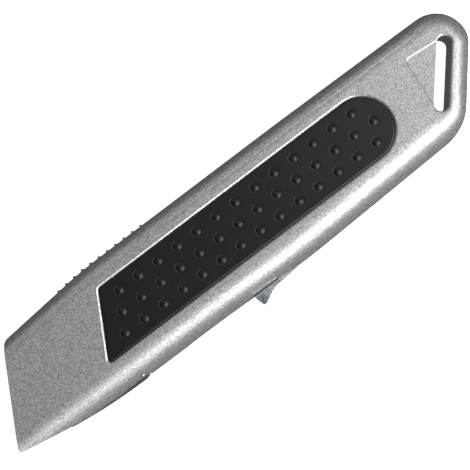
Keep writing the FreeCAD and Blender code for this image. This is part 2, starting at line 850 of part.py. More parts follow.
def carrier_outline(low):
    """Side view of the carrier and its cover, parallel to the nose face in front."""
    set_back = "(guide_length + end_clear + travel)"
    top = f"({BLADE_TOP} + seat_gap)"
    return [
        (nose_line(set_back, low), low),
        ("carrier_rear", low),
        ("carrier_rear", top),
        (nose_line(set_back, top), top),
    ]


def cover_rivet_places():
    return [("rivet_front_x", "rivet_front_y"), ("rivet_rear_x", "rivet_rear_y")]


def slider_rivet_places():
    return [("tongue_x + slider_rivet_in", "slider_rivet_y"),
            (f"{TONGUE_REAR} - slider_rivet_in", "slider_rivet_y")]


def blade_carrier():
    """Plate beside the blade, with a land behind it, a peg in its notch, a foot and a lug."""
    inner = f"-{INNER_FACE}"
    outer = f"-({INNER_FACE} + carrier_thick)"
    top = f"({BLADE_TOP} + seat_gap)"
    behind = f"{BLADE_REAR} + tail_gap"
    land = prism("Land", [
        (f"{behind} - {BLADE_SLANT} * (carrier_low_y - blade_edge_y) / blade_width",
         "carrier_low_y"),
        ("carrier_rear", "carrier_low_y"),
        ("carrier_rear", top),
        (f"{behind} - {BLADE_SLANT}", top),
    ], inner, INNER_FACE)
    # the rear notch alone holds the blade; the front one is for turning the blade round
    low, high = notch_edges()[1]
    peg = plate("Peg", f"{low} + seat_gap", f"{BLADE_TOP} - notch_depth + seat_gap",
                f"{high} - seat_gap", top, inner, INNER_FACE)
    foot = plate("Foot", "foot_front", "foot_low", f"{TONGUE_REAR} + foot_over", "tongue_top",
                 outer, "-tongue_half")
    lug = plate("Lug", "carrier_rear - over", "spring_y - lug_half", "lug_rear",
                "spring_y + lug_half", outer, inner)
    main = prism("CarrierPlate", carrier_outline("carrier_low_y"), outer, inner)
    solid = fuse("CarrierSolid", [main, land, foot, lug, peg])
    holes = [rod(f"CoverRivetHole{number}", "rivet_r + hole_gap", x, y, f"{outer} - over",
                 f"{INNER_FACE} + over") for number, (x, y) in enumerate(cover_rivet_places())]
    holes += [rod(f"SliderRivetHole{number}", "slider_rivet_r + hole_gap", x, y, f"{outer} - over",
                  "0") for number, (x, y) in enumerate(slider_rivet_places())]
    holes.append(rod("MagnetPocket", "magnet_r + hole_gap", "magnet_x", "magnet_y",
                     f"{inner} - magnet_thick", "0"))
    holes.append(rod("HookHole", "hook_r + hole_gap", "hook_x", "spring_y", f"{outer} - over", "0"))
    subpart("blade_carrier", cut("Carrier", solid, holes))


def blade_cover_plate():
    """Plate that closes the carrier on the blade's other side."""
    body = prism("CoverPlate", carrier_outline("(carrier_low_y + cover_lift)"), INNER_FACE,
                 f"{INNER_FACE} + cover_thick")
    holes = [rod(f"CoverHole{number}", "rivet_r + hole_gap", x, y, "0",
                 f"{INNER_FACE} + cover_thick + over")
             for number, (x, y) in enumerate(cover_rivet_places())]
    subpart("blade_cover_plate", cut("Cover", body, holes))


def carrier_hardware():
    """Rivets, magnet and hook pin of the carrier."""
    outer = f"-({INNER_FACE} + carrier_thick)"
    subpart("cover_rivets", group("CoverRivets", [
        rod(f"CoverRivet{number}", "rivet_r", x, y, outer, f"{INNER_FACE} + cover_thick")
        for number, (x, y) in enumerate(cover_rivet_places())]))
    subpart("slider_rivets", group("SliderRivets", [
        rod(f"SliderRivet{number}", "slider_rivet_r", x, y, outer, "tongue_half")
        for number, (x, y) in enumerate(slider_rivet_places())]))
    magnet = rod("Magnet", "magnet_r", "magnet_x", "magnet_y", f"-{INNER_FACE} - magnet_thick",
                 f"-{INNER_FACE}")
    subpart("blade_magnet", magnet, "magnet_x", "magnet_y")
    hook = rod("HookPin", "hook_r", "hook_x", "spring_y", outer, "hook_top")
    subpart("spring_hook_pin", hook, "hook_x", "spring_y")


def finger_slider():
    """Fin under the knife, with a tongue that reaches through the slot to the carrier's foot."""
    tongue = prism("Tongue", [
        ("tongue_x", "tongue_low"),
        ("tongue_x + fin_tip_back + fin_ramp_length", "tongue_low"),
        (TONGUE_REAR, "tongue_low_rear"),
        (TONGUE_REAR, "tongue_top"),
        ("tongue_x", "tongue_top"),
    ], "-tongue_half", "tongue_half")
    tip_x = "(tongue_x - fin_lead + fin_tip_back)"
    corners = [
        ("tongue_x - fin_lead", "fin_top + fin_root"),
        ("tongue_x - fin_lead", "fin_top"),
        (tip_x, "fin_tip_y"),
    ]
    teeth = int(num("fin_teeth"))
    for tooth in range(teeth):
        # the ramp is hollow: steep behind the tip, flat where it meets the housing
        share = 1 - (1 - tooth / teeth) ** num("fin_hollow")
        x = f"({tip_x} + fin_tip_length + fin_ramp_length * {tooth} / {teeth})"
        y = f"(fin_tip_y + (fin_ramp_top - fin_tip_y) * {share:.4f})"
        corners.append((x, y))
        corners.append((f"{x} + fin_tooth", f"{y} + fin_tooth"))
    ramp_end = f"{tip_x} + fin_tip_length + fin_ramp_length"
    corners += [(ramp_end, "fin_ramp_top"), (ramp_end, "fin_top + fin_root")]
    fin = prism("FinBlock", corners, "-fin_half", "fin_half")
    room_r = f"({UNDERSIDE_R} + fin_gap)"
    room = rod_along_x("FinRoom", room_r, f"fin_top + {room_r}", "0", "0", "body_length")
    pad = cut("FinPad", fin, [room])
    whole = fuse("SliderSolid", [tongue, pad])
    holes = [rod(f"TongueHole{number}", "slider_rivet_r + hole_gap", x, y, "-half_thick",
                 "half_thick") for number, (x, y) in enumerate(slider_rivet_places())]
    subpart("finger_slider", cut("Slider", whole, holes))


# Return spring and stops

def return_spring():
    """Close-wound tension spring with a round loop at each end."""
    loop_r = "(sqrt(loop_lead * loop_lead + coil_r * coil_r) + loop_set)"
    front = f"(hook_x + {loop_r} - wire_r - hook_r - loop_clear)"
    rear = f"(body_length - anchor_in - {loop_r} + wire_r + anchor_r + loop_clear)"
    turns = int(num(f"({rear} - {front} - 2 * loop_lead) / coil_pitch"))
    helix = doc.addObject("Part::Helix", "SpringHelix")
    bind(helix, "Radius", "coil_r")
    bind(helix, "Height", f"{rear} - {front} - 2 * loop_lead")
    bind(helix, "Pitch", f"({rear} - {front} - 2 * loop_lead) / {turns}")
    wire = doc.addObject("Part::Circle", "SpringWire")
    bind(wire, "Radius", "wire_r")
    wire.Placement = FreeCAD.Placement(V(num("coil_r"), 0, 0), FreeCAD.Rotation(V(1, 0, 0), 90))
    bind(wire, "Placement.Base.x", "coil_r")
    coil = doc.addObject("Part::Sweep", "SpringCoil")
    coil.Sections = [wire]
    coil.Spine = (helix, ["Edge1"])
    coil.Solid = True
    coil.Frenet = True
    # the helix stands along Z; it is laid along X with its ends in the plane of the loops
    lay = FreeCAD.Rotation(V(0, 0, 1), V(1, 0, 0)).multiply(FreeCAD.Rotation(V(0, 0, 1), 90))
    coil.Placement = FreeCAD.Placement(V(0, 0, 0), lay)
    bind(coil, "Placement.Base.x", f"{front} + loop_lead")
    bind(coil, "Placement.Base.y", "spring_y")
    loops = []
    for number, centre in enumerate((front, rear)):
        loop = doc.addObject("Part::Torus", f"Loop{number}")
        bind(loop, "Radius1", loop_r)
        bind(loop, "Radius2", "wire_r")
        bind(loop, "Placement.Base.x", centre)
        bind(loop, "Placement.Base.y", "spring_y")
        loops.append(loop)
    doc.recompute()
    subpart("return_spring", fuse("Spring", [coil] + loops))


def stops_and_pins():
    """Buffer, cross pins, dowels and the screws that hold the halves together."""
    right = f"-({RIGHT_DEPTH} + pin_bed)"
    left = f"{LEFT_DEPTH} + pin_bed"
    for label, (x, y, radius) in zip(("front_stop_pin", "spring_anchor_pin"),
                                     cross_pin_places()):
        subpart(label, rod(label + "_rod", radius, x, y, right, left), x, y)
    rear = f"{TONGUE_REAR} + foot_over + stop_gap"
    buffer = plate("Buffer", rear, "buffer_low", f"{rear} + buffer_length",
                   "tongue_top + seat_gap", f"-({RIGHT_DEPTH})", LEFT_DEPTH)
    subpart("rear_buffer", buffer)
    subpart("dowel_pins", group("Dowels", [
        rod(f"Dowel{number}", "dowel_r", x, y, "-dowel_half", "dowel_half")
        for number, (x, y) in enumerate(dowel_places())]))
    screws = []
    for number, (x, y) in enumerate(screw_places()):
        top = "-(screw_seat + screw_head)"
        screws.append(turned(f"Screw{number}", [
            ("key_r", top),
            ("screw_head_r", top),
            ("screw_head_r", "-screw_seat"),
            ("screw_r", "-screw_seat"),
            ("screw_r", "screw_reach"),
        ], x, y))
        key = screws[-1]
        key.Label = f"ScrewBlank{number}"
        socket = rod(f"Key{number}", "key_r", x, y, f"{top} - over", f"{top} + key_depth")
        screws[-1] = cut(f"KeyedScrew{number}", key, [socket])
    subpart("housing_screws", group("Screws", screws))


def guide_liners():
    """Thin strips that the carrier slides between, one on each cavity floor."""
    for side, face, back in (("left", f"{LEFT_DEPTH} - liner_thick", LEFT_DEPTH),
                             ("right", f"-{RIGHT_DEPTH}", f"-{RIGHT_DEPTH} + liner_thick")):
        top = f"({CAVITY_TOP} - seat_gap)"
        corners = [
            (nose_line("(guide_length + seat_gap)", "liner_low_y"), "liner_low_y"),
            ("liner_rear", "liner_low_y"),
            ("liner_rear", top),
            (nose_line("(guide_length + seat_gap)", top), top),
        ]
        subpart(f"{side}_guide_liner", prism(f"Liner{side}", corners, face, back))


# Blade-change flap

def change_flap():
    """Flap under the nose, with its knuckle, hinge pin and leaf."""
    sweep = prism("FlapSweep", [
        ("0", "nose_height - flap_proud"),
        ("chin_x", "chin_y - flap_proud", "chin_r"),
        ("hinge_x", "hinge_y - knuckle_r"),
        ("hinge_x", "flap_inner_rear"),
        ("0", "flap_inner_front + over"),
    ], "-flap_half", "flap_half")
    inner = prism("FlapInner", [
        ("flap_front", "0"),
        ("hinge_x + over", "0"),
        ("hinge_x + over", "flap_inner_rear"),
        ("flap_front", "flap_inner_front"),
    ], "-half_thick", "half_thick")
    block = common("FlapBlock", sweep, inner)
    knuckle = rod("Knuckle", "knuckle_r", "hinge_x", "hinge_y", "-flap_half", "flap_half")
    round_r = f"({UNDERSIDE_R} + flap_proud)"
    section = rod_along_x("FlapSection", round_r, f"hinge_y - knuckle_r + {round_r}", "0", "0",
                          "body_length")
    shaped = common("FlapShaped", fuse("FlapSolid", [block, knuckle]), section)
    bore = rod("FlapBore", "hinge_pin_r + hinge_run", "hinge_x", "hinge_y", "-half_thick",
               "half_thick")
    subpart("blade_change_flap", cut("Flap", shaped, [bore]))
    reach = "flap_half + flap_gap + hinge_bed"
    subpart("flap_hinge_pin", rod("HingePin", "hinge_pin_r", "hinge_x", "hinge_y", f"-({reach})",
                                  reach), "hinge_x", "hinge_y")
    leaf_x = "flap_front - flap_gap - leaf_back"
    subpart("flap_leaf_spring", plate("Leaf", leaf_x, "leaf_low", f"{leaf_x} + leaf_thick",
                                      "leaf_top", "-leaf_half", "leaf_half"))


def check_and_write():
    """Stop on any failed feature or bad shape, then write each piece."""
    doc.recompute()
    failed = [item.Name for item in doc.Objects if {"Invalid", "Error"} & set(item.State)]
    if failed:
        raise RuntimeError("failed: " + ", ".join(failed))
    for item in SUBPARTS:
        if item.Shape.isNull() or not item.Shape.isValid() or not item.Shape.Solids:
            raise RuntimeError("bad shape: " + item.Label)
    os.makedirs("parts", exist_ok=True)
    for item in SUBPARTS:
        item.Shape.exportStep(f"parts/{item.Label}.step")
        print(item.Label, len(item.Shape.Solids), round(item.Shape.Volume, 1))


housing()
grip_inserts()
blade()
blade_carrier()
blade_cover_plate()
carrier_hardware()
finger_slider()
return_spring()
stops_and_pins()
guide_liners()
change_flap()
check_and_write()
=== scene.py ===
import bmesh
import bpy
from math import atan2, cos, pi, radians, sin, sqrt, tan
from mathutils import Euler, Matrix, Vector
from mathutils.geometry import delaunay_2d_cdt


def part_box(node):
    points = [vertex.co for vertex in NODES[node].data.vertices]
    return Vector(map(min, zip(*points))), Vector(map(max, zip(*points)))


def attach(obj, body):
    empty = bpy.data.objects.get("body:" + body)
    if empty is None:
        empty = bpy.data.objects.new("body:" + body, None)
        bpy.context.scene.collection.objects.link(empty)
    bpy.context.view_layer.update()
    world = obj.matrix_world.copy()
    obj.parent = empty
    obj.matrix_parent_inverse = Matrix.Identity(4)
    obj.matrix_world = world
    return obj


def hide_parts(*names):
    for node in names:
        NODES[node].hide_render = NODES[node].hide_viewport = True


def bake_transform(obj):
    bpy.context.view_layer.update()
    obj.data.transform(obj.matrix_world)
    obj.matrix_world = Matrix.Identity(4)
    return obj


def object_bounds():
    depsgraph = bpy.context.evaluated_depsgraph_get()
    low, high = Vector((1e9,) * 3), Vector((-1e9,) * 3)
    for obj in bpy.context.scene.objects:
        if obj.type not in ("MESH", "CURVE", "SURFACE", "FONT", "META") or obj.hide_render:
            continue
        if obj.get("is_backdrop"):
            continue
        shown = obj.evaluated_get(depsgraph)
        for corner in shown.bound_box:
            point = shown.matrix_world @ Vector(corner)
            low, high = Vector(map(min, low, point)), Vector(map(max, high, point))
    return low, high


# Utility knife with a retracting blade: finishes, fine meshes, studio.

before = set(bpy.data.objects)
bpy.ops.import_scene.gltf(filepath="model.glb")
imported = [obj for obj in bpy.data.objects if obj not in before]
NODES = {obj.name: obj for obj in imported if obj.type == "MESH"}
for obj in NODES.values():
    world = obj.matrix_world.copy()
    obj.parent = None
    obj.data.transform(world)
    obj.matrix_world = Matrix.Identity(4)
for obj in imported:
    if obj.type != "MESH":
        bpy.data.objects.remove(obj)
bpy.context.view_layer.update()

MM = 0.001
X, Y, Z = range(3)
SAME_POINT = 0.001   # two vertices nearer than this are one, mm


# ---------------------------------------------------------------- small helpers

def linear(code):
    """sRGB hex colour as the linear colour that a socket takes."""
    parts = [int(code[start:start + 2], 16) / 255 for start in (1, 3, 5)]
    return [part / 12.92 if part <= 0.04045 else ((part + 0.055) / 1.055) ** 2.4
            for part in parts] + [1.0]


def per_mm(size):
    """Scale of a pattern whose repeats are so many millimetres apart."""
    return 1 / (size * MM)


def node(tree, kind, inputs=None, **settings):
    """Node with its settings; each input is a value or another node's output."""
    made = tree.nodes.new(kind)
    for word, value in settings.items():
        setattr(made, word, value)
    for socket, value in (inputs or {}).items():
        if isinstance(value, bpy.types.NodeSocket):
            tree.links.new(value, made.inputs[socket])
        else:
            made.inputs[socket].default_value = value
    return made


def centre_of(name):
    low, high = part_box(name)
    return (Vector(low) + Vector(high)) / 2


def solids_of(name):
    """Box of each separate solid in a node, from front to rear."""
    work = bmesh.new()
    work.from_mesh(NODES[name].data)
    bmesh.ops.remove_doubles(work, verts=work.verts, dist=SAME_POINT * MM)
    left = set(work.verts)
    boxes = []
    while left:
        reached = {left.pop()}
        edge_of_reach = list(reached)
        while edge_of_reach:
            vertex = edge_of_reach.pop()
            for edge in vertex.link_edges:
                other = edge.other_vert(vertex)
                if other in left:
                    left.discard(other)
                    reached.add(other)
                    edge_of_reach.append(other)
        spots = [vertex.co for vertex in reached]
        boxes.append((Vector([min(spot[axis] for spot in spots) for axis in range(3)]),
                      Vector([max(spot[axis] for spot in spots) for axis in range(3)])))
    work.free()
    return sorted(boxes, key=lambda box: tuple(box[0]))


def feet_of(boxes):
    """Middle of each box's lower face."""
    return [((low.x + high.x) / 2, (low.y + high.y) / 2, low.z) for low, high in boxes]


# ---------------------------------------------------------------- materials

# noise keeps mostly to the middle of its range, which is spread over the whole
NOISE_SPAN = {"From Min": 0.3, "From Max": 0.7}


def new_material(name, **sockets):
    """Material with even values; returns it with its tree, shader and place coordinates."""
    made = bpy.data.materials.new(name)
    made.use_nodes = True
    tree = made.node_tree
    shader = tree.nodes["Principled BSDF"]
    for word, value in sockets.items():
        shader.inputs[word.replace("_", " ")].default_value = value
    return made, tree, shader, node(tree, "ShaderNodeTexCoord").outputs["Object"]


def speckle(tree, place, size, low, high, detail=2.0):
    """Noise of a real grain size, spread between two values."""
    grain = node(tree, "ShaderNodeTexNoise", {
        "Vector": place, "Scale": per_mm(size), "Detail": detail, "Roughness": 0.6})
    return node(tree, "ShaderNodeMapRange", {
        "Value": grain.outputs["Fac"], "To Min": low, "To Max": high,
        **NOISE_SPAN}).outputs["Result"]


def colours_of(sockets):
    """Colour sockets of a mix node, which also has sockets for other types."""
    return [socket for socket in sockets if socket.type == "RGBA"]


def coloured(tree, shader, factor, dark, light):
    """Base colour between a dark and a light one."""
    mix = node(tree, "ShaderNodeMix", {"Factor": factor}, data_type="RGBA")
    ends = colours_of(mix.inputs)
    ends[0].default_value = linear(dark)
    ends[1].default_value = linear(light)
    tree.links.new(colours_of(mix.outputs)[0], shader.inputs["Base Color"])


def roughened(tree, shader, factor, rough):
    """Roughness from its first value to its second as the factor goes from 0 to 1."""
    span = node(tree, "ShaderNodeMapRange", {
        "Value": factor, "To Min": rough[0], "To Max": rough[1]})
    tree.links.new(span.outputs["Result"], shader.inputs["Roughness"])


def bumped(tree, shader, height, strength, depth):
    """Relief of a depth in millimetres."""
    bump = node(tree, "ShaderNodeBump", {
        "Height": height, "Strength": strength, "Distance": depth * MM})
    tree.links.new(bump.outputs["Normal"], shader.inputs["Normal"])


def silver_lacquer():
    # Silver metallic lacquer sprayed on die-cast aluminium. Flakes lie at random in a matt
    # binder, so it is grey and grainy face on, and shines softly where it turns to a light.
    made, tree, shader, place = new_material("silver lacquer, sprayed", Metallic=0.68)
    # flakes are 0.03 mm; they are drawn at 0.2 mm, or they wouldn't show
    flakes = node(tree, "ShaderNodeTexVoronoi", {
        "Vector": place, "Scale": per_mm(0.2), "Randomness": 1.0})
    tone = node(tree, "ShaderNodeSeparateColor", {"Color": flakes.outputs["Color"]})
    # each flake has its own tone, and groups of them drift a little lighter or darker
    drift = 0.06
    cloud = speckle(tree, place, 0.6, -drift, drift, 3.0)
    flake_tone = node(tree, "ShaderNodeMath", {0: tone.outputs[0], 1: 0.9, 2: 0.05},
                      operation="MULTIPLY_ADD")
    drifted = node(tree, "ShaderNodeMath", {0: flake_tone.outputs[0], 1: cloud},
                   operation="ADD", use_clamp=True)
    coloured(tree, shader, drifted.outputs[0], "#838582", "#d6d8d4")
    roughened(tree, shader, tone.outputs[1], (0.32, 0.5))
    bumped(tree, shader, tone.outputs[2], 0.25, 0.02)
    return made


def grip_rubber():
    # Black thermoplastic rubber moulded against a spark-eroded steel tool, which leaves a
    # fine matt grain.
    made, tree, shader, place = new_material(
        "thermoplastic rubber, moulded matt", IOR=1.5, Specular_IOR_Level=0.42)
    # the tool's grain is 0.05 mm; it is drawn at 0.25 mm to show
    grain = speckle(tree, place, 0.25, 0.0, 1.0, 3.0)
    cloud = speckle(tree, place, 6.0, 0.0, 1.0)
    coloured(tree, shader, cloud, "#0d0e10", "#121316")
    roughened(tree, shader, grain, (0.3, 0.42))
    bumped(tree, shader, grain, 0.12, 0.03)
    return made


def buffer_rubber():
    # Black nitrile rubber, cut from sheet, with a faint bloom.
    made, tree, shader, place = new_material("nitrile rubber, cut", IOR=1.52)
    bloom = speckle(tree, place, 1.2, 0.0, 1.0, 4.0)
    coloured(tree, shader, bloom, "#191919", "#2e2d2b")
    roughened(tree, shader, bloom, (0.6, 0.8))
    bumped(tree, shader, bloom, 0.3, 0.05)
    return made


def streaked_metal(name, dark, light, across, rough, streak, reach, depth=0.004):
    """Metal with fine marks that run across one axis: streak apart, reach long, in mm."""
    # real marks lie some hundredths of a millimetre apart; they are drawn coarser to show
    made, tree, shader, place = new_material(name, Metallic=1.0)
    scale = [per_mm(reach)] * 3
    scale[across] = per_mm(streak)
    laid = node(tree, "ShaderNodeMapping", {"Vector": place, "Scale": scale})
    noise = node(tree, "ShaderNodeTexNoise", {
        "Vector": laid.outputs["Vector"], "Scale": 1.0, "Detail": 3.0, "Roughness": 0.7})
    marks = node(tree, "ShaderNodeMapRange", {
        "Value": noise.outputs["Fac"], **NOISE_SPAN}).outputs["Result"]
    coloured(tree, shader, marks, dark, light)
    roughened(tree, shader, marks, rough)
    bumped(tree, shader, marks, 0.2, depth)
    return made


def cast_metal(name, dark, light, grain, rough, depth):
    """Die-cast metal as it leaves the tumbler: soft mottling and a fine pebbled skin."""
    made, tree, shader, place = new_material(name, Metallic=1.0)
    skin = speckle(tree, place, grain, 0.0, 1.0, 3.0)
    cloud = speckle(tree, place, grain * 6, 0.0, 1.0, 3.0)
    both = node(tree, "ShaderNodeMath", {0: skin, 1: cloud}, operation="MULTIPLY")
    coloured(tree, shader, both.outputs[0], dark, light)
    roughened(tree, shader, cloud, rough)
    bumped(tree, shader, skin, 0.3, depth)
    return made


def blade_steel():
    # Hardened carbon steel, ground across the blade. The edge is ground again along a narrow
    # bevel, which is brighter and finer.
    made = streaked_metal("carbon steel, ground", "#7d8084", "#a9acb0",
                          across=X, rough=(0.22, 0.36), streak=0.2, reach=9.0)
    bevel = 1.6 * MM
    tree = made.node_tree
    shader = tree.nodes["Principled BSDF"]
    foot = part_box("blade")[0][1]
    place = node(tree, "ShaderNodeTexCoord").outputs["Object"]
    height = node(tree, "ShaderNodeSeparateXYZ", {0: place}).outputs["Y"]
    ground = node(tree, "ShaderNodeMath", {0: height, 1: foot + bevel},
                  operation="LESS_THAN").outputs[0]
    body = shader.inputs["Base Color"].links[0].from_socket
    bright = node(tree, "ShaderNodeMix", {"Factor": ground}, data_type="RGBA")
    sides = colours_of(bright.inputs)
    tree.links.new(body, sides[0])
    sides[1].default_value = linear("#c9cccf")
    tree.links.new(colours_of(bright.outputs)[0], shader.inputs["Base Color"])
    return made


RUBBER = grip_rubber()
LACQUER = silver_lacquer()
BUFFER = buffer_rubber()
BLADE = blade_steel()
CARRIER = cast_metal("zinc, die-cast and tumbled", "#7f8286", "#a7aaad",
                     grain=0.35, rough=(0.36, 0.5), depth=0.03)
SLIDER = cast_metal("zinc, die-cast and bright plated", "#a9b1ba", "#f4f7fa",
                    grain=0.4, rough=(0.24, 0.4), depth=0.04)
FLAP = cast_metal("zinc, die-cast and satin plated", "#8c8e8c", "#b8bab7",
                  grain=0.3, rough=(0.3, 0.45), depth=0.02)
# Mild steel plate, rolled along its length and zinc plated.
COVER = streaked_metal("steel plate, rolled and zinc plated", "#8b9094", "#b3b8bb",
                       across=Y, rough=(0.3, 0.42), streak=0.25, reach=12.0)
# Cold-rolled spring strip, polished by the rolls.
STRIP = streaked_metal("spring strip, cold rolled", "#9a9c9e", "#c3c5c6",
                       across=Y, rough=(0.14, 0.24), streak=0.2, reach=20.0)
# Tempered leaf, straw to grey from the heat.
LEAF = streaked_metal("spring leaf, tempered", "#5f5e63", "#8b8378",
                      across=Y, rough=(0.22, 0.34), streak=0.2, reach=4.0)
# Mild steel rivets, headed cold and zinc plated.
RIVET = streaked_metal("mild steel, headed and plated", "#8e9194", "#b4b7ba",
                       across=Z, rough=(0.26, 0.38), streak=0.15, reach=1.0)
# Silver steel pins, ground between centreless wheels.
PIN = streaked_metal("silver steel, centreless ground", "#9b9ea1", "#c6c9cb",
                     across=Z, rough=(0.14, 0.24), streak=0.12, reach=2.0)
# Screws with a rolled thread, chemically blackened and oiled.
SCREW = streaked_metal("steel screw, blackened", "#2b2c2e", "#47484b",
                       across=Z, rough=(0.28, 0.42), streak=0.2, reach=1.5)
# Music wire, drawn through dies along its length.
WIRE = streaked_metal("music wire, drawn", "#8f8c86", "#bab7b0",
                      across=Y, rough=(0.2, 0.32), streak=0.12, reach=3.0)
# Sintered magnet under bright nickel.
MAGNET = cast_metal("neodymium magnet, nickel plated", "#b2aea6", "#cfcbc3",
                    grain=0.4, rough=(0.1, 0.18), depth=0.006)

for name, finish in {
        "left_housing": LACQUER, "right_housing": LACQUER, "blade": BLADE,
        "blade_carrier": CARRIER, "blade_cover_plate": COVER, "finger_slider": SLIDER,
        "blade_change_flap": FLAP, "left_guide_liner": STRIP, "right_guide_liner": STRIP,
        "flap_leaf_spring": LEAF}.items():
    mesh = NODES[name].data
    if not mesh.materials:
        mesh.materials.append(finish)
    for index in range(len(mesh.materials)):
        mesh.materials[index] = finish


# ---------------------------------------------------------------- grown pieces

def new_tree(name, inputs):
    """Geometry tree with its named inputs; each is (name, socket type, starting value)."""
    tree = bpy.data.node_groups.new(name, "GeometryNodeTree")
    face = tree.interface
    face.new_socket("Geometry", in_out="INPUT", socket_type="NodeSocketGeometry")
    for word, kind, value in inputs + [("Finish", "NodeSocketMaterial", None)]:
        socket = face.new_socket(word, in_out="INPUT", socket_type=kind)
        if value is not None:
            socket.default_value = value
    face.new_socket("Geometry", in_out="OUTPUT", socket_type="NodeSocketGeometry")
    return tree, tree.nodes.new("NodeGroupInput").outputs


def close_tree(tree, given, geometry):
    """Ends a tree in real geometry with its material."""
    real = node(tree, "GeometryNodeRealizeInstances", {"Geometry": geometry})
    finished = node(tree, "GeometryNodeSetMaterial", {
        "Geometry": real.outputs[0], "Material": given["Finish"]})
    out = tree.nodes.new("NodeGroupOutput")
    tree.links.new(finished.outputs[0], out.inputs[0])


def mesh_object(name, points, edges=(), faces=()):
    mesh = bpy.data.meshes.new(name)
    mesh.from_pydata([tuple(point) for point in points], list(edges), list(faces))
    made = bpy.data.objects.new(name, mesh)
    bpy.context.scene.collection.objects.link(made)
    return made


def shade(mesh, angle=32):
    mesh.shade_smooth()
    mesh.set_sharp_from_angle(angle=radians(angle))


def settle(piece, body, slot, *stands_for):
    """Rides a finished piece on its body in place of its CAD nodes."""
    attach(piece, body)
    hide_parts(*stands_for)


def grow(name, base, tree, values):
    """Runs a geometry tree on a base object and keeps the plain mesh that it makes."""
    change = base.modifiers.new("grow", "NODES")
    change.node_group = tree
    for item in tree.interface.items_tree:
        if item.item_type == "SOCKET" and item.in_out == "INPUT" and item.name in values:
            change[item.identifier] = values[item.name]
    bpy.context.view_layer.update()
    ready = base.evaluated_get(bpy.context.evaluated_depsgraph_get())
    mesh = bpy.data.meshes.new_from_object(ready)
    base.modifiers.remove(change)
    bpy.data.objects.remove(base)
    mesh.name = name
    shade(mesh)
    made = bpy.data.objects.new(name, mesh)
    bpy.context.scene.collection.objects.link(made)
    return made


def turned_skin(tree, given):
    """Skin round a line of stations, each with its radius."""
    line = node(tree, "GeometryNodeMeshToCurve", {"Mesh": given["Geometry"]})
    round_line = node(tree, "GeometryNodeCurvePrimitiveCircle", {
        "Resolution": given["Sides"], "Radius": 1.0})
    width = node(tree, "GeometryNodeInputNamedAttribute", {"Name": "station_radius"},
                 data_type="FLOAT")
    return node(tree, "GeometryNodeCurveToMesh", {
        "Curve": line.outputs[0], "Profile Curve": round_line.outputs[0], "Fill Caps": True,
        "Scale": width.outputs[0]}).outputs[0]


def set_at_places(tree, given, piece):
    """Copy of a piece at each point of the places object."""
    spots = node(tree, "GeometryNodeObjectInfo", {"Object": given["Places"]})
    return node(tree, "GeometryNodeInstanceOnPoints", {
        "Points": spots.outputs["Geometry"], "Instance": piece}).outputs[0]


def turned_tree():
    """Turned pieces: a line of stations along Z, each with its radius, set at each place."""
    tree, given = new_tree("turned pieces", [
        ("Places", "NodeSocketObject", None), ("Sides", "NodeSocketInt", 40)])
    close_tree(tree, given, set_at_places(tree, given, turned_skin(tree, given)))
    return tree


TURNED = turned_tree()


def stations(name, steps):
    """Line along Z through (radius, height) stations, in metres."""
    base = mesh_object(name, [(0, 0, height) for radius, height in steps],
                       [(index, index + 1) for index in range(len(steps) - 1)])
    width = base.data.attributes.new("station_radius", "FLOAT", "POINT")
    width.data.foreach_set("value", [radius for radius, height in steps])
    return base


def turned(name, boxes, finish, chamfer):
    """Pins or rivets, one in each box, with chamfered ends."""
    low, high = boxes[0]
    radius = (high.x - low.x) / 2
    length = high.z - low.z
    edge = chamfer * MM
    bulge = 0.3 * edge
    lower_end = [(radius - edge, 0.0), (radius - bulge, bulge), (radius, edge)]
    upper_end = [(width, length - height) for width, height in reversed(lower_end)]
    steps = lower_end + upper_end
    places = mesh_object(name + "_places", feet_of(boxes))
    made = grow(name, stations(name + "_line", steps), TURNED,
                {"Places": places, "Finish": finish})
    bpy.data.objects.remove(places)
    return made


for name, body, slot, finish, chamfer in (
        ("cover_rivets", "slider", "rivet_steel", RIVET, 0.15),
        ("slider_rivets", "slider", "rivet_steel", RIVET, 0.15),
        ("spring_hook_pin", "slider", "pin_steel", PIN, 0.2),
        ("blade_magnet", "slider", "magnet_nickel", MAGNET, 0.2),
        ("dowel_pins", "housing", "pin_steel", PIN, 0.25),
        ("front_stop_pin", "housing", "pin_steel", PIN, 0.2),
        ("spring_anchor_pin", "housing", "pin_steel", PIN, 0.2),
        ("flap_hinge_pin", "housing", "pin_steel", PIN, 0.2)):
    settle(turned(name + "_turned", solids_of(name), finish, chamfer), body, slot, name)


# Housing screws: pan head with a hexagon socket, and a rolled thread

THREAD_CREST = 0.17   # from the middle of the four-sided ridge to its corners, mm


